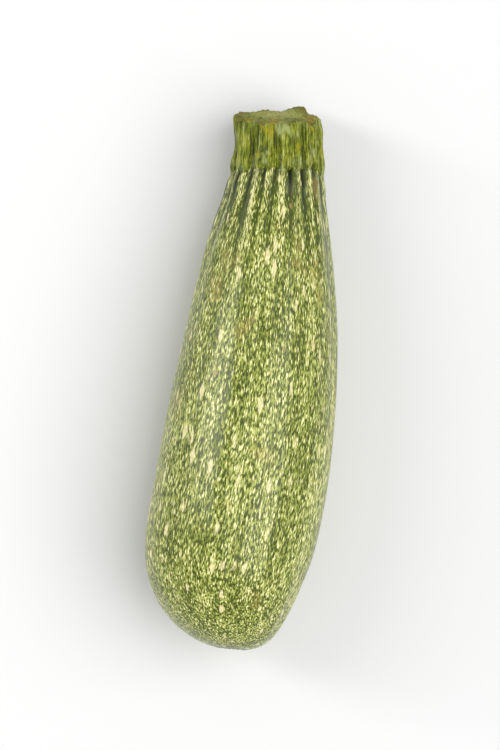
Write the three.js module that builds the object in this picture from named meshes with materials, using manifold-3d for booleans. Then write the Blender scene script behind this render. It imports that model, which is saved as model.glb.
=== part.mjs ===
// A courgette lying on its side: one grown fruit and the stalk it was cut from the plant with.
// Millimetres. +Y runs along the fruit towards the stalk and +Z is up. The origin is on the resting
// surface, under the middle of the whole courgette.
import * as THREE from "three";
import { mergeVertices } from "three/addons/utils/BufferGeometryUtils.js";
import Module from "manifold-3d";

const { clamp, degToRad, mapLinear, smoothstep } = THREE.MathUtils;

// Fruit. Distances along it are measured from the blossom end.
const FRUIT_LENGTH = 155; // blossom end to the seat of the stalk
const BELLY_RADIUS = 27.8; // the widest section, on the crests of the lobes
const BLUNT_LENGTH = 44.7; // depth of the rounded blossom end
const BLUNT_FULLNESS = 2.3; // 2 is an ellipse, and more is blunter
const SEAT_RADIUS = 15.15; // the neck where the stalk sits on it
const RIM_ROUND = 1.2; // rounding of the neck's rim and of the stalk's foot
const SCAR_RADIUS = 4.2; // where the blossom fell off
const SCAR_DEPTH = 0.9;

// The side tapers from the belly to the neck along one Bezier curve.
const SHOULDER_REACH = 0.58; // share of the taper that leaves the belly straight
const NECK_REACH = 0.19; // share of the taper that runs straight into the seat
const NECK_SLOPE = 0.213; // how fast the neck widens away from the seat

// The middle line bows towards -X by BOW u (1 - u)^BOW_FALL / BOW_PEAK, u being the share of the length.
const BOW = 4.35;
const BOW_FALL = 6;
const BOW_PEAK = BOW_FALL ** BOW_FALL / (BOW_FALL + 1) ** (BOW_FALL + 1);

// Stalk. Distances along it are measured from its foot.
const STALK_LENGTH = 21.5; // on its long side
const STALK_RADIUS = 15.4;
const FOOT_OVERHANG = 0.8; // how far its foot stands out past the neck
const FLARE_LENGTH = 5;
const CUT_SLANT_DEG = 13; // the cut leans back, so the upper side is the shorter one
const SEAT_GAP = 0.3; // between the fruit's seat and the stalk's foot
const FOOT_RADIUS = SEAT_RADIUS + FOOT_OVERHANG;

// The stalk and its seat are turned about +Z, and the turn fades out down the neck.
const SEAT_TURN_DEG = 5;
const TURN_LENGTH = 25;

// Lobes of the fruit and ribs of the stalk are one growth, so they share their number and their place.
const RIBS = 10;
const LOBE_DEPTH_BELLY = 0.35;
const LOBE_DEPTH_NECK = 0.9;
const RIB_DEPTH = 0.9; // grooves of the stalk
const MINOR_RIB_DROP = 0.8; // every other rib of the stalk is this much lower

// Resting
const REST_TILT_DEG = 2.5; // the neck lies this much lower than the belly's middle line
const REST_FLAT_DEPTH = 0.35; // how much of the underside its own weight flattens

// Resolution
const AROUND = 6 * RIBS;
const BLUNT_STEPS = 13;
const TAPER_STEPS = 18;
const ROUND_STEPS = 3;

const fruitMaterial = new THREE.MeshStandardMaterial({ color: 0x9aa564, roughness: 0.42, metalness: 0 });
const stalkMaterial = new THREE.MeshStandardMaterial({ color: 0x78803a, roughness: 0.7, metalness: 0 });

const wasm = await Module();
wasm.setup();

function toSolid(geometry) {
  const bare = new THREE.BufferGeometry();
  bare.setAttribute("position", geometry.getAttribute("position"));
  bare.setIndex(geometry.getIndex());
  const merged = mergeVertices(bare, 1e-4);
  const index = merged.getIndex().array;
  const triangles = [];
  for (let i = 0; i < index.length; i += 3) {
    const [a, b, c] = index.slice(i, i + 3);
    if (a !== b && b !== c && c !== a) triangles.push(a, b, c);
  }
  return new wasm.Manifold(
    new wasm.Mesh({
      numProp: 3,
      vertProperties: merged.getAttribute("position").array,
      triVerts: new Uint32Array(triangles),
    }),
  );
}

function toGeometry(solid) {
  const mesh = solid.getMesh();
  const geometry = new THREE.BufferGeometry();
  geometry.setAttribute("position", new THREE.BufferAttribute(mesh.vertProperties, 3));
  geometry.setIndex(new THREE.BufferAttribute(mesh.triVerts, 1));
  geometry.computeVertexNormals();
  return geometry;
}

// Share of a valley's depth at an angle from straight up. A valley lies at the very top and bottom.
function valley(angle, count) {
  return 0.5 - 0.5 * Math.cos(count * (angle - Math.PI / RIBS));
}

// Turns an outline of (radius, distance along) points about Y, and sinks it by depthAt(angle, along).
function turned(points, depthAt) {
  const geometry = new THREE.LatheGeometry(points, AROUND);
  const p = geometry.getAttribute("position");
  for (let i = 0; i < p.count; i++) {
    const radius = Math.hypot(p.getX(i), p.getZ(i));
    if (radius === 0) continue;
    const depth = depthAt(Math.atan2(p.getX(i), p.getZ(i)), p.getY(i));
    const share = 1 - (depth / radius) * Math.min(1, radius / SEAT_RADIUS);
    p.setX(i, p.getX(i) * share);
    p.setZ(i, p.getZ(i) * share);
  }
  return geometry;
}

// The blossom end, from the rim of the scar to the belly: a quarter of a superellipse.
function bluntPoints() {
  const power = 2 / BLUNT_FULLNESS;
  const start = Math.asin((SCAR_RADIUS / BELLY_RADIUS) ** (1 / power));
  return Array.from({ length: BLUNT_STEPS + 1 }, (_, i) => {
    const a = mapLinear(i, 0, BLUNT_STEPS, start, Math.PI / 2);
    const radius = BELLY_RADIUS * Math.sin(a) ** power;
    return new THREE.Vector2(radius, BLUNT_LENGTH * (1 - Math.max(0, Math.cos(a)) ** power));
  });
}

function fruitOutline() {
  const blunt = bluntPoints();
  const scarRim = blunt[0].y;
  const taper = FRUIT_LENGTH - RIM_ROUND - BLUNT_LENGTH;
  const side = new THREE.CubicBezierCurve(
    new THREE.Vector2(BELLY_RADIUS, BLUNT_LENGTH),
    new THREE.Vector2(BELLY_RADIUS, BLUNT_LENGTH + SHOULDER_REACH * taper),
    new THREE.Vector2(
      SEAT_RADIUS + NECK_SLOPE * NECK_REACH * taper,
      BLUNT_LENGTH + (1 - NECK_REACH) * taper,
    ),
    new THREE.Vector2(SEAT_RADIUS, BLUNT_LENGTH + taper),
  );
  const rim = new THREE.EllipseCurve(
    SEAT_RADIUS - RIM_ROUND,
    FRUIT_LENGTH - RIM_ROUND,
    RIM_ROUND,
    RIM_ROUND,
    0,
    Math.PI / 2,
  );
  return [
    new THREE.Vector2(0, scarRim + SCAR_DEPTH),
    new THREE.Vector2(SCAR_RADIUS / 2, scarRim + 0.8 * SCAR_DEPTH),
    ...blunt,
    ...side.getPoints(TAPER_STEPS).slice(1),
    ...rim.getPoints(ROUND_STEPS).slice(1),
    new THREE.Vector2(0, FRUIT_LENGTH),
  ];
}

function stalkOutline() {
  const foot = FRUIT_LENGTH + SEAT_GAP;
  const flare = new THREE.CubicBezierCurve(
    new THREE.Vector2(FOOT_RADIUS, foot + RIM_ROUND),
    new THREE.Vector2(FOOT_RADIUS, foot + FLARE_LENGTH / 2),
    new THREE.Vector2(STALK_RADIUS, foot + FLARE_LENGTH / 2),
    new THREE.Vector2(STALK_RADIUS, foot + FLARE_LENGTH),
  );
  return [
    new THREE.Vector2(0, foot),
    new THREE.Vector2(FOOT_RADIUS - RIM_ROUND, foot),
    ...flare.getPoints(ROUND_STEPS),
    new THREE.Vector2(STALK_RADIUS, foot + STALK_LENGTH),
    new THREE.Vector2(0, foot + STALK_LENGTH),
  ];
}

// Turns the seat, bows the middle line sideways, then tilts the whole to the way it rests.
function pose(geometry) {
  const p = geometry.getAttribute("position");
  for (let i = 0; i < p.count; i++) {
    const x = p.getX(i);
    const along = Math.min(p.getY(i), FRUIT_LENGTH);
    const beyond = p.getY(i) - along;
    const turn = degToRad(SEAT_TURN_DEG) * smoothstep(along, FRUIT_LENGTH - TURN_LENGTH, FRUIT_LENGTH);
    const u = clamp(along / FRUIT_LENGTH, 0, 1);
    const bow = (BOW * u * (1 - u) ** BOW_FALL) / BOW_PEAK;
    p.setX(i, x * Math.cos(turn) - beyond * Math.sin(turn) - bow);
    p.setY(i, along + x * Math.sin(turn) + beyond * Math.cos(turn));
  }
  geometry.rotateX(degToRad(-REST_TILT_DEG));
}

function makeFruit() {
  const geometry = turned(
    fruitOutline(),
    (angle, along) =>
      valley(angle, RIBS) * mapLinear(along, 0, FRUIT_LENGTH, LOBE_DEPTH_BELLY, LOBE_DEPTH_NECK),
  );
  pose(geometry);
  return geometry;
}

// A block whose near face is the cut through the stalk.
function cutBlock() {
  const side = 4 * FOOT_RADIUS;
  const block = new THREE.BoxGeometry(side, side, side);
  block.translate(0, side / 2, 0);
  block.rotateX(degToRad(CUT_SLANT_DEG));
  const middle = STALK_LENGTH - STALK_RADIUS * Math.tan(degToRad(CUT_SLANT_DEG));
  block.translate(0, FRUIT_LENGTH + SEAT_GAP + middle, 0);
  return block;
}

function makeStalk() {
  const uncut = turned(
    stalkOutline(),
    (angle) => RIB_DEPTH * valley(angle, RIBS) + MINOR_RIB_DROP * valley(angle, RIBS / 2),
  );
  const geometry = toGeometry(toSolid(uncut).subtract(toSolid(cutBlock())));
  pose(geometry);
  return geometry;
}

// Lowers both pieces until the flattened strip meets the surface, then cuts the strip.
function rest(fruit, stalk) {
  fruit.computeBoundingBox();
  const drop = -fruit.boundingBox.min.z - REST_FLAT_DEPTH;
  fruit.translate(0, 0, drop);
  stalk.translate(0, 0, drop);
  const below = new THREE.BoxGeometry(4 * BELLY_RADIUS, 3 * FRUIT_LENGTH, 2 * BELLY_RADIUS);
  below.translate(0, 0, -BELLY_RADIUS);
  return toGeometry(toSolid(fruit).subtract(toSolid(below)));
}

const stalkGeometry = makeStalk();
const fruitGeometry = rest(makeFruit(), stalkGeometry);

const fruit = new THREE.Mesh(fruitGeometry, fruitMaterial);
fruit.name = "fruit";
const stalk = new THREE.Mesh(stalkGeometry, stalkMaterial);
stalk.name = "stalk";

const courgette = new THREE.Group();
courgette.add(fruit, stalk);
const middle = new THREE.Box3().setFromObject(courgette).getCenter(new THREE.Vector3());
courgette.position.set(-middle.x, -middle.y, 0);

export default courgette;
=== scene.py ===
"""One courgette lying on its side, with its cut stalk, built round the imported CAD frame.

Shapes are worked out in the fruit's own frame, in millimetres: "along" runs from the blossom end
towards the stalk, and the angle round the fruit is 0 at the top of the lying fruit and grows
towards +X. pose() carries a point from there into the shared frame, in metres, as the CAD does.
"""

import math

import bpy
import numpy as np
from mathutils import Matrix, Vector


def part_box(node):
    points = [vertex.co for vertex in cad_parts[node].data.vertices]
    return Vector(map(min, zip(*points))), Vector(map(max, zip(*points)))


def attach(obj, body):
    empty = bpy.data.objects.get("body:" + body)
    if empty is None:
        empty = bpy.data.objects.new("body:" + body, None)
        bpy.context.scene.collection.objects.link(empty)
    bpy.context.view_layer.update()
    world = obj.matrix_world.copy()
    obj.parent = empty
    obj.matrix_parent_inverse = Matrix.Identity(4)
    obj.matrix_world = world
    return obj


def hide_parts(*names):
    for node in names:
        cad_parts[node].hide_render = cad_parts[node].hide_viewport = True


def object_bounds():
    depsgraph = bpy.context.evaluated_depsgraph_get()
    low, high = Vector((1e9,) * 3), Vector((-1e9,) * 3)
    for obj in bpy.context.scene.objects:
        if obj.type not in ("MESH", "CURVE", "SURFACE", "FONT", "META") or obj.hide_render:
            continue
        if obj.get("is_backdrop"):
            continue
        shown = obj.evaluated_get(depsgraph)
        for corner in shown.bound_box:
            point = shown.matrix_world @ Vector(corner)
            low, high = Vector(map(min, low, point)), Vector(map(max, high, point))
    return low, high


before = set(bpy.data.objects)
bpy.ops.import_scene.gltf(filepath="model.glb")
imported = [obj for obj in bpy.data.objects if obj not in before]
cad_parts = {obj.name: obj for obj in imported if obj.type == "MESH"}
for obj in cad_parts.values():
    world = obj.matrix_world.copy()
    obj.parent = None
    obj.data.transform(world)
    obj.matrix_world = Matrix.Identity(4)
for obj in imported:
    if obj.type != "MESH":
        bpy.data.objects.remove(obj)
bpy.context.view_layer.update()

MM = 0.001

# Fruit, as in the CAD model
FRUIT_LENGTH = 155.0
BELLY_RADIUS = 27.8
BLUNT_LENGTH = 44.7
BLUNT_FULLNESS = 2.3
SEAT_RADIUS = 15.15
RIM_ROUND = 1.2
SCAR_RADIUS = 4.2
SCAR_DEPTH = 0.9
SHOULDER_REACH = 0.58
NECK_REACH = 0.19
NECK_SLOPE = 0.213
BOW = 4.35
BOW_FALL = 6
BOW_PEAK = BOW_FALL**BOW_FALL / (BOW_FALL + 1) ** (BOW_FALL + 1)
SEAT_TURN = math.radians(5)
TURN_LENGTH = 25.0
RIBS = 10
LOBE_DEPTH_BELLY = 0.35
LOBE_DEPTH_NECK = 0.9
REST_TILT = math.radians(2.5)

# Stalk, as in the CAD model
STALK_LENGTH = 21.5
STALK_RADIUS = 15.4
FOOT_RADIUS = SEAT_RADIUS + 0.8
FLARE_LENGTH = 5.0
CUT_SLANT = math.radians(13)
SEAT_GAP = 0.3
RIB_DEPTH = 0.9
MINOR_RIB_DROP = 0.8

# Fine surface of the fruit
SKIN_SINK = 0.06  # keeps the fine surface just inside the CAD box
DENT_DEPTH = 0.45  # wide, soft dents
STRIPE_DEPTH = 0.16  # narrow, long furrows
PEBBLE_DEPTH = 0.06  # small bumps
BELLY_VALLEYS = (1.0, 0.2, 0.6, 0.0, 0.5, 1.0, 0.3, 0.8, 0.1, 0.5)  # how deep each lobe's valley is
GROOVES = 20  # dark grooves that run down the neck from the stalk
GROOVE_DEPTH = 0.75
ROOT_DEPTH = 1.0  # the grooves are this much deeper where they start
GROOVE_WANDER = 0.03  # how far a groove strays sideways, in radians
CREST_WIDTH = 1.05  # half-width of the pale line between two grooves

# Blossom scar: a corky disc with a crumbly stub in its middle
RING_RADIUS = 1.45 * SCAR_RADIUS
RING_WIDTH = 1.1
RING_DEPTH = 0.1
WRINKLES = 14
WRINKLE_DEPTH = 0.2
STUB_WIDTH = 1.1
STUB_HEIGHT = 0.55
CRUMB_HEIGHT = 0.12
FAR_FROM_SCAR = 9.0  # distance that the material reads everywhere but at the blossom end, in radii

# Fine surface of the stalk
STALK_SINK = 0.2  # keeps the fibres just inside the CAD box
FLARE_SHARE = 0.5  # of the CAD model's flare, because the skirt hides its foot
FIBRE_DEPTH = 0.3
STRAND_DEPTH = 0.12
LUMP_DEPTH = 0.12
CREASE_DEPTH = 0.75  # creases that carry the neck's grooves on up the stalk
CREASE_WIDTH = 0.85
SKIRT_SHORT = 1.8  # how far the foot laps over the neck between its fingers
SKIRT_FINGER = 3.2  # how much further its fingers reach
SKIRT_THICKNESS = 0.22
NOTCH_WIDTH = 1.15  # half-width of the notch between two fingers
LIP_LENGTH = 3.2  # over this length the skirt rises out of the neck
LIP_SINK = 0.9  # how deep in the neck it starts
SETTLED = (-1.0, 7.0)  # heights between which the skirt turns into the stalk's own body
COVERED_NECK = 8.0  # length of neck that the skirt may lie on
NECK_ROWS = 60  # the rows of the fruit's outline nearest the stalk
TIP_CLEARANCE = 0.05  # keeps the rim's tip just inside the CAD box
CUT_DROP = 1.2  # how far the ragged rim stays below the CAD model's cut
RIM_SWELL = 0.3  # long waves in the rim's height
RIM_FRAY = 0.16  # short ones
RIM_BEVEL = 0.5  # how far the side turns in at the rim
CURL_ANGLE = 97  # here the rim curls inwards, in degrees
CURL_SPREAD = 24  # half-width, in degrees
CURL_DEPTH = 1.2
RIM_DIPS = (  # ragged rim: degrees round it, depth of the dip (less than 0 is a bump), half-width
    (158, -1.1, 9),
    (141, -1.5, 9),
    (121, 4.0, 8),
    (92, 0.6, 18),
    (58, 2.3, 9),
    (-178, 1.1, 16),
    (-70, 1.3, 16),
    (-128, 1.2, 9),
    (-22, 0.7, 10),
)
STAINS = (  # ochre stains on the stalk: degrees round it, height above its foot, radius
    (-7, 11.0, 1.7),
    (-18, 12.6, 2.4),
    (27, 6.2, 1.3),
    (-45, 15.9, 1.2),
    (-27, 2.6, 1.1),
    (55, 12.0, 1.0),
    (96, 14.5, 2.4),
    (150, 6.0, 2.2),
    (-118, 9.0, 2.6),
    (-160, 16.0, 2.0),
)

# Cut face of the stalk
PITH_RADIUS = 4.2  # between the points of the pith's star
PITH_POINT = 1.8  # how much further its points reach
PITH_DEPTH = 0.9
FACE_DEPTH = 0.55  # how far the face lies below its rim
BUNDLE_PLACE = 0.72  # the ring of fibre bundles, as a share of the rim's radius
BUNDLE_WIDTH = 0.07
BUNDLE_HEIGHT = 0.4
GRAIN_HEIGHT = 0.09

# Resolution
FRUIT_AROUND = 320
FRUIT_ROWS = {"scar": 24, "blunt": 76, "side": 194, "rim": 5, "seat": 3}
STALK_AROUND = 560
STALK_ROWS = 84
CUT_ROWS = 40
UNDER_SHARES = (0.1, 0.5, 0.88)  # the rows under the stalk's foot, as shares of the seat's radius
POLE_GAP = 0.02  # keeps the last row clear of its pole, as a share of the radius
CUT_POLE_GAP = 0.01
POLE_STEP = 0.1  # the unwrap's allowance for the stalk's poles

# Random seeds
GROOVE_SEED = 11
FRUIT_SEED = 4
STALK_SEED = 23

# Camera, in metres
PHOTO_LEAN = math.radians(5.4)  # the courgette leans to the right in the picture
VIEW_DISTANCE = 1.6
VIEW_HEIGHT = 0.24  # height of the strip of floor that the picture shows
SENSOR_HEIGHT = 36  # millimetres, as Blender has it

# Floor and light, in metres
FLOOR_SIZE = 12
FLOOR_COLOUR = (0.73, 0.73, 0.725, 1)
SKY_COLOUR = (0.98, 0.99, 1.0, 1)
WALL_LIGHT = 0.80  # the studio is bright low down and dimmer overhead
CEILING_LIGHT = 0.52
WALL_TOP = (0.12, 0.5)  # sines of the elevations between which the wall turns into the ceiling
LIGHT_TARGET = (0, 0, 0.03)
KEY = {"place": (2.1, 0.0, 3.8), "size": (4.2, 4.2), "watts": 172}
SHEEN = {"place": (-1.05, 0.25, 0.85), "size": (0.30, 1.1), "watts": 7.0}


def ease(value, low, high):
    """Rises smoothly from 0 at low to 1 at high."""
    t = np.clip((value - low) / (high - low), 0.0, 1.0)
    return t * t * (3 - 2 * t)


def hill(distance, width):
    """A smooth hill of height 1 round distance 0."""
    return np.exp(-((distance / width) ** 2))


def share(field):
    """Squeezes a random field of about unit size into 0 to 1."""
    return 0.5 + 0.5 * np.tanh(field)


def wave(angle):
    """Goes from 1 at angle 0 to 0 half a turn on."""
    return 0.5 + 0.5 * np.cos(angle)


def valley(angle, count):
    """Rises from 0 on the crests of count ribs to 1 in the valleys between them."""
    return 1 - wave(count * (angle - math.pi / RIBS))


def wrapped(angle):
    """The same angle, between half a turn back and half a turn on."""
    return (angle + math.pi) % (2 * math.pi) - math.pi


def angles_round(count):
    return 2 * math.pi * np.arange(count) / count - math.pi


def ripples(angle, along, rng, waves, lengths, count=24):
    """A smooth random field of about unit size that closes on itself round the fruit.

    waves is the range of waves round the fruit, and lengths the range of wavelengths along it.
    """
    field = np.zeros_like(angle)
    for _ in range(count):
        around = int(rng.integers(waves[0], waves[1] + 1))
        pitch = 2 * math.pi / rng.uniform(*lengths)
        phase = rng.uniform(0, 2 * math.pi)
        field += np.cos(around * angle + rng.choice([-1, 1]) * pitch * along + phase)
    return field / math.sqrt(count / 2)


def ripples_round(angle, rng, waves, count):
    """Ripples that change only round the fruit, so that their lengths along it play no part."""
    return ripples(angle, 0 * angle, rng, waves, (1, 2), count)


def pose(points, shift):
    """Turns the seat, bows the middle line and tilts the whole: millimetres in, metres out."""
    x, along, z = points[..., 0], points[..., 1], points[..., 2]
    base = np.minimum(along, FRUIT_LENGTH)
    beyond = along - base
    turn = SEAT_TURN * ease(base, FRUIT_LENGTH - TURN_LENGTH, FRUIT_LENGTH)
    u = np.clip(base / FRUIT_LENGTH, 0, 1)
    bow = BOW * u * (1 - u) ** BOW_FALL / BOW_PEAK
    bowed_x = x * np.cos(turn) - beyond * np.sin(turn) - bow
    bowed_y = base + x * np.sin(turn) + beyond * np.cos(turn)
    y = bowed_y * math.cos(REST_TILT) + z * math.sin(REST_TILT)
    up = z * math.cos(REST_TILT) - bowed_y * math.sin(REST_TILT)
    return np.stack([bowed_x, y, up], axis=-1) * MM + np.array(shift)


def round_axis(radius, along, angle):
    """Points at a radius and an angle round the fruit's own axis."""
    radius, along, angle = np.broadcast_arrays(radius, along, angle)
    return np.stack([radius * np.sin(angle), along, radius * np.cos(angle)], axis=-1)


def pole(along, shift):
    """The posed point on the fruit's axis that closes a surface."""
    return pose(np.array([[0.0, along, 0.0]]), shift)


# Fruit


def scar_outline(rim):
    q = np.linspace(0, 1, FRUIT_ROWS["scar"], endpoint=False) + POLE_GAP
    return np.stack([SCAR_RADIUS * q, rim + SCAR_DEPTH * (1 - ease(q, 0.35, 1.0))], axis=1)


def blunt_outline():
    power = 2 / BLUNT_FULLNESS
    start = math.asin((SCAR_RADIUS / BELLY_RADIUS) ** (1 / power))
    a = np.linspace(start, math.pi / 2, FRUIT_ROWS["blunt"], endpoint=False)
    radius = BELLY_RADIUS * np.sin(a) ** power
    return np.stack([radius, BLUNT_LENGTH * (1 - np.cos(a) ** power)], axis=1)


def side_outline():
    taper = FRUIT_LENGTH - RIM_ROUND - BLUNT_LENGTH
    neck_radius = SEAT_RADIUS + NECK_SLOPE * NECK_REACH * taper
    controls = np.array([
        (BELLY_RADIUS, BLUNT_LENGTH),
        (BELLY_RADIUS, BLUNT_LENGTH + SHOULDER_REACH * taper),
        (neck_radius, BLUNT_LENGTH + (1 - NECK_REACH) * taper),
        (SEAT_RADIUS, BLUNT_LENGTH + taper),
    ])
    t = np.linspace(0, 1, FRUIT_ROWS["side"], endpoint=False)[:, None]
    weights = np.hstack([(1 - t) ** 3, 3 * t * (1 - t) ** 2, 3 * t**2 * (1 - t), t**3])
    return weights @ controls


def seat_outline():
    a = np.linspace(0, math.pi / 2, FRUIT_ROWS["rim"])
    rim_radius = SEAT_RADIUS - RIM_ROUND * (1 - np.cos(a))
    rim = np.stack([rim_radius, FRUIT_LENGTH - RIM_ROUND * (1 - np.sin(a))], axis=1)
    q = np.linspace(1, 0, FRUIT_ROWS["seat"] + 1)[1:] + POLE_GAP
    seat = np.stack([(SEAT_RADIUS - RIM_ROUND) * q, np.full_like(q, FRUIT_LENGTH)], axis=1)
    return np.vstack([rim, seat])


def fruit_outline():
    """Radius and distance along of each row of the fruit, from the scar to the seat's middle."""
    blunt = blunt_outline()
    return np.vstack([scar_outline(blunt[0, 1]), blunt, side_outline(), seat_outline()])


class NeckGrooves:
    """The grooves that run down the neck between the roots of the stalk's ribs."""

    def __init__(self, seed):
        rng = np.random.default_rng(seed)
        places = np.arange(GROOVES) + rng.uniform(-0.16, 0.16, GROOVES)
        self.centre = 2 * math.pi * places / GROOVES
        self.length = rng.uniform(13, 38, GROOVES)
        self.width = rng.uniform(0.5, 0.95, GROOVES)
        self.depth = rng.uniform(0.45, 1.0, GROOVES)
        self.phase = rng.uniform(0, 2 * math.pi, GROOVES)

    def strength(self, angle, along, stretch=1.0, widen=1.0):
        """Share of a groove's depth at a place. stretch and widen make the grooves larger."""
        most = np.zeros_like(angle)
        each = zip(self.centre, self.length, self.width, self.depth, self.phase)
        for centre, length, width, depth, phase in each:
            wander = GROOVE_WANDER * np.sin(along / 9 + phase)
            across = wrapped(angle - centre - wander) * SEAT_RADIUS
            fade = ease(along, FRUIT_LENGTH - stretch * length, FRUIT_LENGTH - 1)
            most = np.maximum(most, depth * fade * hill(across, width * widen))
        return most

    def crests(self, angle, along):
        """Pale ridge lines half-way between neighbouring grooves."""
        most = np.zeros_like(angle)
        following = np.append(self.centre[1:], self.centre[0] + 2 * math.pi)
        middles = (self.centre + following) / 2
        each = zip(middles, self.length, np.roll(self.depth, 3), self.phase)
        for centre, length, depth, phase in each:
            wander = GROOVE_WANDER * np.sin(along / 7 + phase)
            across = wrapped(angle - centre - wander) * SEAT_RADIUS
            fade = ease(along, FRUIT_LENGTH - 1.2 * length, FRUIT_LENGTH - 2)
            most = np.maximum(most, (0.35 + 0.65 * depth) * fade * hill(across, CREST_WIDTH))
        return most


grooves = NeckGrooves(GROOVE_SEED)


def lobe_depth(angle, along, radius):
    depth = LOBE_DEPTH_BELLY + (LOBE_DEPTH_NECK - LOBE_DEPTH_BELLY) * along / FRUIT_LENGTH
    return depth * valley(angle, RIBS) * np.minimum(1, radius / SEAT_RADIUS)


def lobe_share(angle, along):
    """Share of the CAD model's lobe depth in each valley: uneven on the belly, full at the neck."""
    nearest = np.round(angle / (2 * math.pi / RIBS)).astype(int) % RIBS
    belly = np.array(BELLY_VALLEYS)[nearest]
    return belly + (1 - belly) * ease(along, 0.6 * FRUIT_LENGTH, 0.95 * FRUIT_LENGTH)


def scar_relief(angle, radius, rng):
    """How far the scar's ring, wrinkles and stub lie below the plain surface."""
    wrinkle = wave(WRINKLES * angle + 3 * np.sin(3 * angle)) * hill(radius, 1.6 * SCAR_RADIUS)
    crumbs = np.tanh(ripples(angle, 4 * radius, rng, (1, 12), (2, 6), count=30))
    crumbs *= ease(radius, 0.2, 1.5) * (radius < 0.9 * SCAR_RADIUS)
    stub = STUB_HEIGHT * hill(radius, STUB_WIDTH) + CRUMB_HEIGHT * crumbs
    return (
        RING_DEPTH * hill(radius - RING_RADIUS, RING_WIDTH)
        + WRINKLE_DEPTH * wrinkle * ease(radius, 0.3, 2.0)
        - stub * (1 - ease(radius, 0.7 * SCAR_RADIUS, 0.9 * SCAR_RADIUS))
    )


def fruit_relief(angle, along, radius):
    """How far the fine surface of the fruit lies below the plain one."""
    rng = np.random.default_rng(FRUIT_SEED)
    dents = share(ripples(angle, along, rng, (1, 5), (35, 120)))
    stripes = share(ripples(angle, along, rng, (9, 26), (60, 400)))
    pebbles = share(ripples(angle, along, rng, (18, 60), (6, 22), count=48))
    outside = ease(along, 0, 12) * (1 - ease(along, FRUIT_LENGTH - 10, FRUIT_LENGTH - 5))
    fine = DENT_DEPTH * dents + STRIPE_DEPTH * stripes + PEBBLE_DEPTH * pebbles
    groove = GROOVE_DEPTH * grooves.strength(angle, along)
    root = ROOT_DEPTH * grooves.strength(angle, along, stretch=0.3, widen=1.5)
    scar = scar_relief(angle, radius, rng) * (along < BLUNT_LENGTH / 2)
    return SKIN_SINK + fine * outside + groove + root + scar


def shift_to_frame(points, node):
    """How far a surface has to move to sit where the CAD node is, whose underside may be cut."""
    low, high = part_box(node)
    flat = points.reshape(-1, 3)
    own_low, own_high = flat.min(0), flat.max(0)
    middle = (np.array(low) + np.array(high) - own_low - own_high) / 2
    return np.array([middle[0], middle[1], high.z - own_high[2]])


def grid_faces(rows, around):
    """Quads between the rows, and a fan of triangles to the pole at each end."""
    count = rows * around
    j = np.arange(around)
    k = (j + 1) % around
    i = np.arange(rows - 1)[:, None] * around
    quads = np.stack([i + j, i + k, i + around + k, i + around + j], axis=-1).reshape(-1, 4)
    last = count - around
    start_fan = np.stack([np.full(around, count), k, j], axis=-1)
    end_fan = np.stack([np.full(around, count + 1), last + j, last + k], axis=-1)
    return quads.tolist() + start_fan.tolist() + end_fan.tolist()


def grid_uv(around, v_rows):
    """The unwrap of grid_faces: u runs round the axis, and v_rows has each row's v."""
    j = np.arange(around)
    u0, u1 = j / around, (j + 1) / around
    low, high = v_rows[:-1, None], v_rows[1:, None]
    corners = (u0, low), (u1, low), (u1, high), (u0, high)
    places = [np.stack(np.broadcast_arrays(u, v), axis=-1) for u, v in corners]
    quads = np.stack(places, axis=2).reshape(-1, 2)
    half = (u0 + u1) / 2
    zero, one = np.zeros(around), np.ones(around)
    first, final = np.full(around, v_rows[0]), np.full(around, v_rows[-1])
    start = np.stack([half, zero, u1, first, u0, first], axis=-1).reshape(-1, 2)
    end = np.stack([half, one, u0, final, u1, final], axis=-1).reshape(-1, 2)
    return np.vstack([quads, start, end])


def closed_mesh(name, points, v_rows, start_pole, end_pole):
    """A closed surface of rows of points round an axis, with a pole at each end."""
    rows, around = points.shape[:2]
    vertices = np.vstack([points.reshape(-1, 3), start_pole, end_pole])
    mesh = bpy.data.meshes.new(name)
    mesh.from_pydata(vertices.tolist(), [], grid_faces(rows, around))
    uv = mesh.uv_layers.new(name="OFBake")
    uv.data.foreach_set("uv", grid_uv(around, v_rows).astype(np.float32).ravel())
    mesh.polygons.foreach_set("use_smooth", np.ones(len(mesh.polygons), dtype=bool))
    mesh.update()
    thing = bpy.data.objects.new(name, mesh)
    bpy.context.scene.collection.objects.link(thing)
    return thing


def running_length(first, steps, last):
    """Each row's share of the way from one pole to the other."""
    reach = np.concatenate([[first], first + np.cumsum(steps)])
    return reach / (reach[-1] + last)


def keep_number(thing, name, values, start_pole, end_pole):
    """Stores a number at each point for the material, with its values at the two poles."""
    data = np.append(values.ravel(), [start_pole, end_pole]).astype(np.float32)
    thing.data.attributes.new(name, "FLOAT", "POINT").data.foreach_set("value", data)


def keep_vector(thing, name, values, start_pole, end_pole):
    data = np.vstack([values.reshape(-1, 3), start_pole, end_pole]).astype(np.float32)
    layer = thing.data.attributes.new(name, "FLOAT_VECTOR", "POINT")
    layer.data.foreach_set("vector", data.ravel())


def keep_fruit_marks(fruit, angle, along, radius):
    """What the skin's material reads: its own map, and where grooves, crests and the scar are."""
    spread = np.where(along < BLUNT_LENGTH, radius, BELLY_RADIUS)
    keep_vector(fruit, "skin", round_axis(spread, along, angle), (0, 0, 0), (0, FRUIT_LENGTH, 0))
    keep_number(fruit, "along", along / FRUIT_LENGTH, 0, 1)
    from_scar = np.where(along < BLUNT_LENGTH / 2, radius / SCAR_RADIUS, FAR_FROM_SCAR)
    keep_number(fruit, "from_scar", from_scar, 0, FAR_FROM_SCAR)
    keep_number(fruit, "groove", grooves.strength(angle, along), 0, 0)
    pigment = grooves.strength(angle, along, stretch=1.9, widen=1.5)
    keep_number(fruit, "pigment", pigment, 0, 0)
    keep_number(fruit, "crest", grooves.crests(angle, along), 0, 0)
    line = grooves.strength(angle, along, stretch=6, widen=1.6)
    keep_number(fruit, "line", line, 0, 0)


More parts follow.
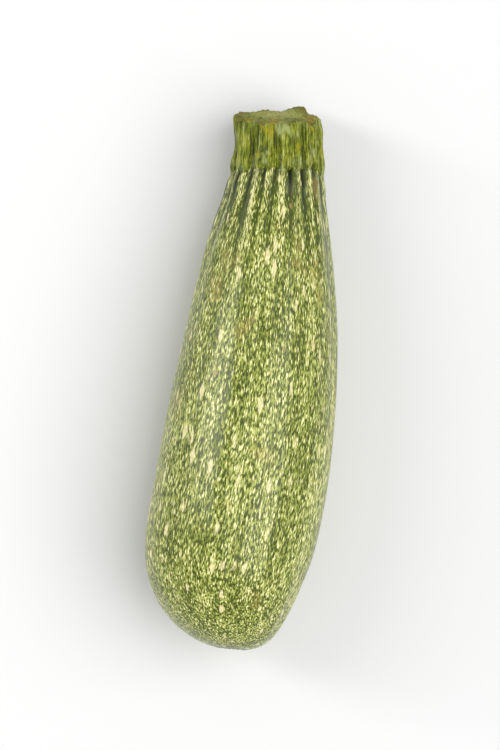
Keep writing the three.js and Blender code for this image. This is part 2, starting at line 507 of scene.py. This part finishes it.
def make_fruit():
    outline = fruit_outline()
    tangent = np.gradient(outline, axis=0)
    tangent /= np.linalg.norm(tangent, axis=1, keepdims=True)
    normal_radius, normal_along = tangent[:, 1:], -tangent[:, :1]
    angle = angles_round(FRUIT_AROUND)
    along, around = np.meshgrid(outline[:, 1], angle, indexing="ij")
    plain = np.repeat(outline[:, :1], FRUIT_AROUND, axis=1)

    lobes = lobe_depth(around, along, plain)
    shift = shift_to_frame(pose(round_axis(plain - lobes, along, around), (0, 0, 0)), "fruit")

    sink = fruit_relief(around, along, plain)
    radius = plain - lobe_share(around, along) * lobes - sink * normal_radius
    sunk = along - sink * normal_along
    points = pose(round_axis(radius, sunk, around), shift)
    points[..., 2] = np.maximum(points[..., 2], 0)

    steps = np.linalg.norm(np.diff(outline, axis=0), axis=1)
    v_rows = running_length(outline[0, 0], steps, outline[-1, 0])
    start, end = pole(sunk[0].mean(), shift), pole(FRUIT_LENGTH - SKIN_SINK, shift)
    fruit = closed_mesh("courgette_fruit", points, v_rows, start, end)
    keep_fruit_marks(fruit, around, along, plain)
    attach(fruit, "root")
    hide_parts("fruit")
    return fruit, shift


# Stalk


def cut_height(angle, radius):
    """Height of the slanted cut above the stalk's foot."""
    middle = STALK_LENGTH - STALK_RADIUS * math.tan(CUT_SLANT)
    return middle - radius * np.cos(angle) * math.tan(CUT_SLANT)


def at_grooves(angle, radius, width, strengths):
    """A hill round each of the neck's grooves, with its half-width measured at this radius."""
    most = np.zeros_like(angle)
    for centre, strength in zip(grooves.centre, strengths):
        most = np.maximum(most, strength * hill(wrapped(angle - centre) * radius, width))
    return most


def skirt_reach(angle, notch, rng):
    """How far the foot laps over the neck, in fingers that lie between the neck's grooves."""
    size = 0.75 + 0.35 * np.tanh(ripples_round(angle, rng, (3, 13), count=8))
    return SKIRT_SHORT + SKIRT_FINGER * size * (1 - notch) ** 2.2


def rim_height(angle, ribs, rng):
    """Height of the ragged rim, where fibres stand up or have torn away."""
    ragged = RIM_SWELL * ripples_round(angle, rng, (2, 9), count=10)
    ragged += RIM_FRAY * ripples_round(angle, rng, (20, 60), count=16)
    for degrees, drop, spread in RIM_DIPS:
        ragged -= drop * hill(wrapped(angle - math.radians(degrees)), math.radians(spread))
    return cut_height(angle, STALK_RADIUS - ribs) + ragged - CUT_DROP


def covered_neck(angle, height):
    """Radius of the neck under the skirt."""
    along = FRUIT_LENGTH + np.clip(height, -COVERED_NECK, -RIM_ROUND)
    radii, places = fruit_outline()[-NECK_ROWS:-FRUIT_ROWS["seat"]].T
    neck = np.interp(along, places, radii)
    return neck - lobe_depth(angle, along, neck) - GROOVE_DEPTH * grooves.strength(angle, along)


def stalk_radius(angle, height, way_up, lap, notch, body):
    """Radius of the stalk's side: its skirt on the neck, its body, and its curled rim.

    way_up goes from 0 at the skirt's edge to 1 at the rim.
    """
    neck = covered_neck(angle, height)
    skirt = np.maximum(neck + SKIRT_THICKNESS * (1 - 0.8 * notch), body)
    settled = ease(height, *SETTLED)
    radius = skirt * (1 - settled) + body * settled
    lip = ease(height, -lap, -lap + LIP_LENGTH)
    radius = (neck - LIP_SINK) * (1 - lip) + radius * lip
    curl = hill(wrapped(angle - math.radians(CURL_ANGLE)), math.radians(CURL_SPREAD))
    radius -= RIM_BEVEL * ease(way_up, 0.965, 1.0)
    return radius - CURL_DEPTH * curl * ease(way_up, 0.72, 1.0)


def cut_face(angle, rim_radius, rim_level, rng):
    """The cut face's radius and level from the rim inwards, and its marks for the material."""
    q = np.linspace(1, 0, CUT_ROWS + 1)[1:] + CUT_POLE_GAP
    out, around = np.meshgrid(q, angle, indexing="ij")
    radius = out * rim_radius
    pith_edge = PITH_RADIUS + PITH_POINT * wave(RIBS / 2 * (around - math.pi / RIBS))
    grain = ripples(around, radius * 6, rng, (6, 40), (6, 18), count=48)
    spots = wave(2 * RIBS * around + 0.7 * np.sin(3 * around))
    ring = hill(out - BUNDLE_PLACE - 0.03 * np.cos(RIBS * around), BUNDLE_WIDTH)
    bundle = ring * (0.25 + 0.75 * spots**2)
    level = (
        cut_height(around, radius)
        + (rim_level - cut_height(around, rim_radius)) * out**3
        - FACE_DEPTH * (1 - out**6)
        + BUNDLE_HEIGHT * bundle
        - PITH_DEPTH * (1 - ease(radius, pith_edge - 1.6, pith_edge))
        + GRAIN_HEIGHT * grain * (1 - out**8)
    )
    marks = {
        "from_pith": out,
        "bundle": bundle,
        "pith": 1 - ease(radius, pith_edge - 1.4, pith_edge + 0.4),
    }
    return radius, level, marks


def stalk_body(angle, height, ribs, creases, rng):
    """Radius of the stalk above its skirt, and how raised each fibre is, for the material."""
    fibres = ripples(angle, height, rng, (18, 64), (25, 120), count=60)
    strands = ripples(angle, height, rng, (60, 150), (14, 60), count=60)
    lumps = ripples(angle, height, rng, (2, 8), (9, 40), count=20)
    flare = (FOOT_RADIUS - STALK_RADIUS) * (1 - ease(height, 0, FLARE_LENGTH))
    body = STALK_RADIUS + FLARE_SHARE * flare - ribs - STALK_SINK - LUMP_DEPTH * (1 + lumps)
    body -= FIBRE_DEPTH * share(fibres) + STRAND_DEPTH * share(1.5 * strands)
    body -= CREASE_DEPTH * creases * (1 - 0.55 * ease(height, 0, STALK_LENGTH))
    return body, 0.5 - 0.25 * np.tanh(fibres) - 0.25 * np.tanh(1.5 * strands)


def stain_marks(angle, height):
    stain = np.zeros_like(angle)
    for degrees, up, size in STAINS:
        across = wrapped(angle - math.radians(degrees)) * STALK_RADIUS
        away = np.hypot(across, (height - up) * 0.7)
        stain = np.maximum(stain, 1 - ease(away, 0.3 * size, 1.5 * size))
    return stain


def side_rows():
    """The side's rows, from 0 at the skirt's edge to 1 at the rim, closer together at both ends."""
    even = np.linspace(0, 1, STALK_ROWS)
    return 0.5 * even + 0.5 * (1 - wave(math.pi * even))


def stalk_mesh(side, face, angle, shift):
    """The closed stalk. Underneath, its foot turns in and closes above the fruit's seat."""
    foot = FRUIT_LENGTH + SEAT_GAP
    under_radius = np.array(UNDER_SHARES)[:, None] * (SEAT_RADIUS - RIM_ROUND)
    parts = (under_radius, 0.0), side, face
    grown = np.vstack([round_axis(radius, foot + height, angle) for radius, height in parts])
    points = pose(grown, shift)
    points[..., 1] = np.minimum(points[..., 1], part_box("stalk")[1].y - TIP_CLEARANCE * MM)
    steps = np.linalg.norm(np.diff(grown, axis=0), axis=-1).mean(axis=1)
    v_rows = running_length(POLE_STEP, steps, POLE_STEP)
    start, end = pole(foot, shift), points[-1].mean(0, keepdims=True)
    stalk = closed_mesh("courgette_stalk", points, v_rows, start, end)
    keep_vector(stalk, "grown", grown, (0, FRUIT_LENGTH, 0), (0, FRUIT_LENGTH + STALK_LENGTH, 0))
    return stalk


def keep_by_part(stalk, name, parts, start_pole=0, end_pole=0):
    """Stores a number for each point of the stalk: underneath, on its side, on its cut face."""
    rows = (len(UNDER_SHARES), STALK_ROWS, CUT_ROWS)
    values = [np.broadcast_to(part, (count, STALK_AROUND)) for part, count in zip(parts, rows)]
    keep_number(stalk, name, np.vstack(values), start_pole, end_pole)


def make_stalk(shift):
    rng = np.random.default_rng(STALK_SEED)
    angle = angles_round(STALK_AROUND)
    ribs = RIB_DEPTH * valley(angle, RIBS) + MINOR_RIB_DROP * valley(angle, RIBS / 2)
    creases = at_grooves(angle, STALK_RADIUS, CREASE_WIDTH, 0.4 + 0.6 * grooves.depth)
    notch = at_grooves(angle, SEAT_RADIUS, NOTCH_WIDTH, np.ones(GROOVES))
    lap = skirt_reach(angle, notch, rng)
    rim = rim_height(angle, ribs, rng)

    way_up, around = np.meshgrid(side_rows(), angle, indexing="ij")
    height = -lap + way_up * (rim + lap)
    body, raised_fibre = stalk_body(around, height, ribs, creases, rng)
    radius = stalk_radius(around, height, way_up, lap, notch, body)
    face_radius, level, face_marks = cut_face(angle, radius[-1], rim, rng)
    stalk = stalk_mesh((radius, height), (face_radius, level), angle, shift)

    crest = 1 - np.clip((ribs + creases) / (RIB_DEPTH + MINOR_RIB_DROP), 0, 1)
    share_up = np.clip(height / STALK_LENGTH, -0.2, 1)
    keep_by_part(stalk, "cut", (0, ease(way_up, 0.955, 0.985), 1), end_pole=1)
    keep_by_part(stalk, "from_pith", (1, 1, face_marks["from_pith"]), start_pole=1)
    keep_by_part(stalk, "bundle", (0, 0, face_marks["bundle"]))
    keep_by_part(stalk, "pith", (0, 0, face_marks["pith"]), end_pole=1)
    keep_by_part(stalk, "height", (0, share_up, 1), end_pole=1)
    keep_by_part(stalk, "rib", (0, crest, 0))
    keep_by_part(stalk, "fibre", (0, raised_fibre, 0.5))
    keep_by_part(stalk, "stain", (0, stain_marks(around, height), 0))
    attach(stalk, "root")
    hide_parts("stalk")
    return stalk


# Nodes that the materials are made of. Vectors and distances in them are in millimetres.


def add(tree, kind, inputs=None, **settings):
    """A node with its settings, and its inputs given as values or as the sockets that feed them."""
    node = tree.nodes.new(kind)
    for key, value in settings.items():
        setattr(node, key, value)
    for key, value in (inputs or {}).items():
        if isinstance(value, bpy.types.NodeSocket):
            tree.links.new(value, node.inputs[key])
        else:
            node.inputs[key].default_value = value
    return node


def attribute(tree, name, output="Fac"):
    return add(tree, "ShaderNodeAttribute", attribute_name=name).outputs[output]


def combine(tree, operation, a, b):
    return add(tree, "ShaderNodeMath", {0: a, 1: b}, operation=operation).outputs[0]


def product(tree, *factors):
    result = factors[0]
    for factor in factors[1:]:
        result = combine(tree, "MULTIPLY", result, factor)
    return result


def stretch(tree, vector, along):
    """Squeezes a map along the fruit, so that what is drawn on it comes out longer."""
    inputs = {0: vector, 1: (1.0, along, 1.0)}
    return add(tree, "ShaderNodeVectorMath", inputs, operation="MULTIPLY").outputs[0]


def window(tree, value, low, high, to_low=0.0, to_high=1.0):
    """Smoothly maps low..high to to_low..to_high."""
    inputs = {"Value": value, "From Min": low, "From Max": high, "To Min": to_low, "To Max": to_high}
    node = add(tree, "ShaderNodeMapRange", inputs, interpolation_type="SMOOTHSTEP")
    return node.outputs["Result"]


def noise(tree, vector, scale, detail=2.0, roughness=0.5, distortion=0.0):
    inputs = {
        "Vector": vector,
        "Scale": scale,
        "Detail": detail,
        "Roughness": roughness,
        "Distortion": distortion,
    }
    return add(tree, "ShaderNodeTexNoise", inputs).outputs["Fac"]


def cells(tree, vector, scale, randomness=1.0):
    """Distance to the nearest cell's middle, and a random number for each cell."""
    inputs = {"Vector": vector, "Scale": scale, "Randomness": randomness}
    node = add(tree, "ShaderNodeTexVoronoi", inputs)
    chance = add(tree, "ShaderNodeSeparateColor", {"Color": node.outputs["Color"]})
    return node.outputs["Distance"], chance.outputs[0]


def weighed_in(tree, result, field, weight):
    """A field with another one added to it, weighed."""
    inputs = {0: field, 1: weight, 2: result}
    return add(tree, "ShaderNodeMath", inputs, operation="MULTIPLY_ADD").outputs[0]


def weighed(tree, start, *parts):
    """start plus the weighed difference of each field from its middle, 0.5."""
    result = combine(tree, "SUBTRACT", start, sum(0.5 * weight for _, weight in parts))
    for field, weight in parts:
        result = weighed_in(tree, result, field, weight)
    return result


def flecks(tree, vector, scale, size, amount, soft=0.5):
    """Ragged marks of random size, at most one in each cell.

    size is their radius in cells, and amount is the share of the cells that have one.
    """
    distance, chance = cells(tree, vector, scale, randomness=0.8)
    distance = weighed(tree, distance, (noise(tree, vector, 5 * scale), 1.6 * size))
    here = window(tree, chance, 1 - amount, 1 - amount + 0.12)
    radius = combine(tree, "MULTIPLY", combine(tree, "ADD", chance, 0.35), size)
    inner = combine(tree, "MULTIPLY", radius, 1 - soft)
    return product(tree, window(tree, distance, inner, radius, 1.0, 0.0), here)


def blend(tree, amount, under, over):
    """Lays a colour over another one. A colour is a socket, or red, green and blue."""
    node = add(tree, "ShaderNodeMix", data_type="RGBA")
    tree.links.new(amount, node.inputs[0])
    for socket, colour in ((node.inputs[6], under), (node.inputs[7], over)):
        if isinstance(colour, tuple):
            socket.default_value = (*colour, 1.0)
        else:
            tree.links.new(colour, socket)
    return node.outputs[2]


def ramp(tree, value, stops):
    node = add(tree, "ShaderNodeValToRGB", {"Fac": value})
    elements = node.color_ramp.elements
    while len(elements) < len(stops):
        elements.new(1.0)
    for element, (place, colour) in zip(elements, stops):
        element.position = place
        element.color = (*colour, 1.0)
    return node.outputs["Color"]


def new_material(name):
    material = bpy.data.materials.new(name)
    material.use_nodes = True
    tree = material.node_tree
    tree.nodes.clear()
    shader = add(tree, "ShaderNodeBsdfPrincipled")
    output = add(tree, "ShaderNodeOutputMaterial")
    tree.links.new(shader.outputs[0], output.inputs["Surface"])
    return material, tree, shader


def emboss(tree, shader, raised, millimetres):
    inputs = {"Strength": 1.0, "Distance": millimetres * MM, "Height": raised}
    bump = add(tree, "ShaderNodeBump", inputs)
    tree.links.new(bump.outputs[0], shader.inputs["Normal"])


# Skin

SKIN_TONES = (
    (0.00, (0.048, 0.068, 0.004)),
    (0.22, (0.122, 0.155, 0.012)),
    (0.42, (0.226, 0.264, 0.037)),
    (0.62, (0.392, 0.426, 0.104)),
    (0.82, (0.602, 0.606, 0.212)),
    (1.00, (0.850, 0.790, 0.405)),
)
CREAM = (0.82, 0.72, 0.37)
ROOT_PALE = (0.66, 0.62, 0.26)
# the grooves' own dark green, with painted shade: near black where they are deepest
GROOVE_PIGMENT_AND_SHADE = (0.008, 0.013, 0.002)
WARM_MARK = (0.38, 0.26, 0.07)
CORK_SPOT = (0.40, 0.29, 0.10)
SCAR_BROWN = (0.22, 0.150, 0.055)
SCAR_PALE = (0.46, 0.365, 0.180)
SCAR_EDGE = (0.105, 0.080, 0.028)
SCAR_MOAT = (0.085, 0.060, 0.026)


def skin_fields(tree):
    """The random fields that the skin's colour, gloss and relief share."""
    skin = attribute(tree, "skin", "Vector")
    lengthwise = stretch(tree, skin, 0.27)
    streaked = stretch(tree, skin, 0.05)
    speckle = noise(tree, lengthwise, 2.3, distortion=0.3)
    apart, _ = cells(tree, lengthwise, 1.5)
    cream = flecks(tree, stretch(tree, skin, 0.32), 0.30, 0.25, 0.6, soft=0.45)
    fields = {
        "speckle": window(tree, speckle, 0.42, 0.58),
        "dots": window(tree, apart, 0.12, 0.58, 1.0, 0.0),
        "broken": window(tree, noise(tree, lengthwise, 0.85), 0.44, 0.56),
        "clump": window(tree, noise(tree, lengthwise, 0.30), 0.34, 0.66),
        "band": window(tree, noise(tree, streaked, 0.2, roughness=0.6), 0.36, 0.64),
        "row": window(tree, noise(tree, streaked, 0.75, detail=1.0), 0.36, 0.64),
        "ridge": window(tree, noise(tree, streaked, 0.36), 0.40, 0.62),
        "patch": window(tree, noise(tree, skin, 0.05, detail=3.0), 0.34, 0.66),
        "pores": noise(tree, skin, 2.6),
    }
    fields["cream"] = product(tree, cream, weighed(tree, 0.95, (fields["speckle"], 0.3)))
    return skin, fields


def skin_tone(tree, fields, along, from_scar):
    """How pale the skin is, from 0, the darkest green, to 1, cream."""
    speckle, dots = fields["speckle"], fields["dots"]
    tone = weighed(
        tree,
        0.545,
        (speckle, 0.60),
        (dots, 0.60),
        (fields["band"], 0.17),
        (fields["row"], 0.22),
        (fields["patch"], 0.10),
        (fields["clump"], 0.05),
    )
    tone = weighed_in(tree, tone, attribute(tree, "line"), -0.16)

    # The neck is darker, and its speckle gathers on ridges.
    neck = window(tree, along, 0.72, 0.99)
    tone = weighed_in(tree, tone, product(tree, neck, fields["ridge"]), 0.22)
    patchy = weighed(tree, 0, (fields["broken"], 1.0))
    tone = weighed_in(tree, tone, product(tree, neck, patchy), 0.46)
    tone = weighed_in(tree, tone, neck, -0.25)
    tone = weighed_in(tree, tone, window(tree, along, 0.90, 1.0), -0.18)
    pale_line = product(tree, attribute(tree, "crest"), weighed(tree, 0.40, (speckle, 0.5)))
    tone = weighed_in(tree, tone, pale_line, 1.0)

    tone = weighed_in(tree, tone, window(tree, from_scar, 2.6, 0.9), -0.22)
    near_groove = window(tree, attribute(tree, "pigment"), 0.08, 0.62)
    shade = product(tree, near_groove, weighed(tree, 0.9, (dots, -0.6), (speckle, -0.3)))
    return weighed_in(tree, tone, shade, -0.70)


def scar_colour(tree, from_scar, pores):
    """The corky scar, with a dark edge and a dark moat round its stub."""
    corky = blend(tree, window(tree, pores, 0.36, 0.64), SCAR_BROWN, SCAR_PALE)
    corky = blend(tree, window(tree, from_scar, 0.66, 0.86, 0.0, 0.7), corky, SCAR_EDGE)
    inside = window(tree, from_scar, 0.50, 0.34)
    outside = window(tree, from_scar, 0.16, 0.30)
    return blend(tree, product(tree, inside, outside, 0.6), corky, SCAR_MOAT)


def skin_material():
    """Green skin: reticulate pale speckle, cream flecks, dark green grooves down the neck with
    painted shade deep in them, corky scar.
    """
    material, tree, shader = new_material("courgette_skin")
    skin, fields = skin_fields(tree)
    speckle = fields["speckle"]
    along = attribute(tree, "along")
    groove = attribute(tree, "groove")
    from_scar = attribute(tree, "from_scar")

    colour = ramp(tree, skin_tone(tree, fields, along, from_scar), SKIN_TONES)
    colour = blend(tree, product(tree, fields["cream"], 0.9), colour, CREAM)
    root = product(tree, attribute(tree, "crest"), window(tree, along, 0.93, 0.985))
    colour = blend(tree, product(tree, root, speckle, 0.6), colour, ROOT_PALE)
    # The grooves' dark green pigment, deepened to near black by painted shade where the grooves are
    # deepest.
    colour = blend(tree, window(tree, groove, 0.22, 0.62), colour, GROOVE_PIGMENT_AND_SHADE)

    # Sun, rubbing and age leave a few warm marks.
    warm = window(tree, noise(tree, skin, 0.07, detail=4.0, roughness=0.65), 0.58, 0.74)
    colour = blend(tree, product(tree, warm, 0.35), colour, WARM_MARK)
    cork = flecks(tree, skin, 0.085, 0.085, 0.2)
    colour = blend(tree, product(tree, cork, 0.8), colour, CORK_SPOT)

    uneven = noise(tree, skin, 0.7, detail=3.0, roughness=0.6)
    from_scar = weighed(tree, from_scar, (uneven, 0.7))
    scar = window(tree, from_scar, 0.93, 0.78)
    colour = blend(tree, scar, colour, scar_colour(tree, from_scar, fields["pores"]))
    tree.links.new(colour, shader.inputs["Base Color"])

    rough = weighed(tree, 0.37, (speckle, 0.10), (fields["patch"], 0.08))
    rough = weighed_in(tree, rough, scar, 0.3)
    rough = weighed_in(tree, rough, groove, 0.3)
    tree.links.new(rough, shader.inputs["Roughness"])
    shader.inputs["IOR"].default_value = 1.4
    shader.inputs["Specular IOR Level"].default_value = 0.35
    shader.inputs["Coat Weight"].default_value = 0.28
    shader.inputs["Coat Roughness"].default_value = 0.2

    raised = weighed(tree, 0.5, (speckle, 0.4), (fields["dots"], 0.5), (fields["pores"], 0.5))
    raised = weighed_in(tree, raised, fields["cream"], 0.8)
    emboss(tree, shader, raised, 0.06)
    return material


# Stalk's material

STALK_TONES = (
    (0.00, (0.026, 0.038, 0.003)),
    (0.25, (0.085, 0.108, 0.005)),
    (0.50, (0.182, 0.208, 0.012)),
    (0.75, (0.310, 0.335, 0.050)),
    (1.00, (0.520, 0.540, 0.190)),
)
STALK_PALE = (0.36, 0.41, 0.17)
OCHRE = (0.34, 0.29, 0.008)
ORANGE = (0.50, 0.25, 0.04)
RIM_BROWN = (0.17, 0.085, 0.015)
FACE_GREEN = (0.19, 0.22, 0.030)
FACE_PALE = (0.38, 0.41, 0.11)
FACE_FIBRE = (0.16, 0.17, 0.025)
BUNDLE_DARK = (0.075, 0.095, 0.010)
PITH_DARK = (0.30, 0.30, 0.10)
PITH_PALE = (0.56, 0.54, 0.27)
PITH_BROWN = (0.30, 0.20, 0.06)
DRIED = (0.38, 0.25, 0.03)


def stalk_fields(tree, grown):
    """The random fields that the stalk's colour, gloss and relief share."""
    streaked = stretch(tree, grown, 0.10)
    strands = noise(tree, streaked, 1.5, detail=3.0, roughness=0.65)
    hair = noise(tree, streaked, 4.5, roughness=0.6)
    streak = noise(tree, stretch(tree, grown, 0.2), 0.42)
    mottle = noise(tree, grown, 0.24, detail=4.0, roughness=0.6)
    return {
        "strands": strands,
        "strand": window(tree, strands, 0.38, 0.62),
        "hair": window(tree, hair, 0.40, 0.60),
        "streak": window(tree, streak, 0.36, 0.64),
        "mottle": window(tree, mottle, 0.34, 0.66),
        "fine": noise(tree, streaked, 2.4, detail=3.0),
        "dots": noise(tree, grown, 2.4, detail=3.0, roughness=0.6),
    }


def stalk_side_colour(tree, grown, fields):
    """Olive fibres with pale patches, ochre stains and a browned rim."""
    strand, mottle = fields["strand"], fields["mottle"]
    tone = weighed(
        tree,
        0.385,
        (strand, 0.32),
        (fields["hair"], 0.27),
        (fields["streak"], 0.26),
        (mottle, 0.24),
        (attribute(tree, "rib"), 0.24),
        (attribute(tree, "fibre"), 0.44),
    )
    fleck = flecks(tree, stretch(tree, grown, 0.28), 0.9, 0.26, 0.5)
    side = ramp(tree, weighed_in(tree, tone, fleck, 0.22), STALK_TONES)

    pale = window(tree, noise(tree, stretch(tree, grown, 0.45), 0.34, detail=3.0), 0.52, 0.66)
    pale = product(tree, pale, window(tree, strand, 0.0, 1.0, 0.25, 0.75))
    side = blend(tree, pale, side, STALK_PALE)
    uneven = noise(tree, stretch(tree, grown, 0.5), 0.55, detail=4.0, roughness=0.65)
    blot = weighed(tree, attribute(tree, "stain"), (uneven, 4.0))
    side = blend(tree, window(tree, blot, 0.35, 1.15, 0.0, 0.7), side, OCHRE)
    side = blend(tree, window(tree, blot, 1.05, 1.6, 0.0, 0.75), side, ORANGE)
    frayed = weighed_in(tree, attribute(tree, "height"), fields["strands"], 0.25)
    brown = window(tree, frayed, 0.94, 1.12)
    brown = product(tree, brown, window(tree, mottle, 0.0, 1.0, 0.1, 0.8))
    return blend(tree, brown, side, RIM_BROWN)


def stalk_face_colour(tree, grown, dots, side):
    """The cut face: green flesh, a ring of dark bundles, a spongy pith, and the side's rim."""
    from_pith = attribute(tree, "from_pith")
    face = blend(tree, window(tree, dots, 0.38, 0.62), FACE_GREEN, FACE_PALE)
    fibres, _ = cells(tree, grown, 0.55)
    face = blend(tree, window(tree, fibres, 0.16, 0.34, 0.5, 0.0), face, FACE_FIBRE)
    face = blend(tree, product(tree, attribute(tree, "bundle"), 0.85), face, BUNDLE_DARK)
    spongy = blend(tree, window(tree, dots, 0.40, 0.60), PITH_DARK, PITH_PALE)
    face = blend(tree, product(tree, attribute(tree, "pith"), 0.8), face, spongy)
    face = blend(tree, window(tree, from_pith, 0.62, 0.95, 0.0, 0.8), face, side)
    face = blend(tree, window(tree, from_pith, 0.26, 0.06, 0.0, 0.6), face, PITH_BROWN)
    dried = window(tree, noise(tree, grown, 0.22, detail=3.0), 0.5, 0.66)
    return blend(tree, product(tree, dried, 0.35), face, DRIED)


def stalk_material():
    """Olive fibrous stalk with pale ribs, ochre stains, a browned rim and a spongy cut face."""
    material, tree, shader = new_material("courgette_stalk")
    grown = attribute(tree, "grown", "Vector")
    cut = attribute(tree, "cut")
    fields = stalk_fields(tree, grown)
    side = stalk_side_colour(tree, grown, fields)
    face = stalk_face_colour(tree, grown, fields["dots"], side)
    tree.links.new(blend(tree, cut, side, face), shader.inputs["Base Color"])

    rough = weighed(tree, 0.56, (fields["strand"], 0.16))
    tree.links.new(rough, shader.inputs["Roughness"])
    shader.inputs["Specular IOR Level"].default_value = 0.15

    relief = (fields["strands"], 0.7), (fields["fine"], 0.9), (fields["hair"], 0.25)
    raised = weighed(tree, 0.5, *relief)
    raised = weighed_in(tree, raised, product(tree, fields["dots"], cut), 0.8)
    emboss(tree, shader, raised, 0.22)
    return material


# Scene


def floor_material():
    material, _, shader = new_material("pale_floor")
    shader.inputs["Base Color"].default_value = FLOOR_COLOUR
    shader.inputs["Roughness"].default_value = 0.6
    shader.inputs["Specular IOR Level"].default_value = 0.2
    return material


def make_floor():
    bpy.ops.mesh.primitive_plane_add(size=FLOOR_SIZE, location=(0, 0, 0))
    floor = bpy.context.object
    floor.name = "floor"
    floor.data.materials.append(floor_material())
    floor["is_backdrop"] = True


def softbox(name, place, size, watts):
    """A rectangular studio light that is aimed at the fruit."""
    data = bpy.data.lights.new(name, "AREA")
    data.shape = "RECTANGLE"
    data.size, data.size_y = size
    data.energy = watts
    thing = bpy.data.objects.new(name, data)
    thing.location = place
    direction = Vector(LIGHT_TARGET) - thing.location
    thing.rotation_euler = direction.to_track_quat("-Z", "Y").to_euler()
    bpy.context.scene.collection.objects.link(thing)


def light_the_scene():
    world = bpy.data.worlds.new("studio")
    world.use_nodes = True
    bpy.context.scene.world = world
    tree = world.node_tree
    direction = add(tree, "ShaderNodeTexCoord").outputs["Generated"]
    rise = add(tree, "ShaderNodeSeparateXYZ", {0: direction}).outputs["Z"]
    sky = tree.nodes["Background"]
    sky.inputs["Color"].default_value = SKY_COLOUR
    strength = window(tree, rise, *WALL_TOP, WALL_LIGHT, CEILING_LIGHT)
    tree.links.new(strength, sky.inputs["Strength"])
    softbox("key", **KEY)
    softbox("sheen_left", **SHEEN)
    bpy.context.scene.view_settings.view_transform = "Standard"


def make_camera():
    """Looks straight down on the fruit's side, rolled so that the stalk leans right as it stood."""
    data = bpy.data.cameras.new("camera")
    data.sensor_fit = "VERTICAL"
    data.sensor_height = SENSOR_HEIGHT
    data.lens = SENSOR_HEIGHT * VIEW_DISTANCE / VIEW_HEIGHT
    camera = bpy.data.objects.new("camera", data)
    low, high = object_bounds()
    middle = (low + high) / 2
    camera.location = (middle.x, middle.y, middle.z + VIEW_DISTANCE)
    camera.rotation_euler = (0, 0, PHOTO_LEAN)
    bpy.context.scene.collection.objects.link(camera)
    bpy.context.scene.camera = camera


fruit, placed = make_fruit()
fruit.data.materials.append(skin_material())
stalk = make_stalk(placed)
stalk.data.materials.append(stalk_material())
make_floor()
light_the_scene()
make_camera()
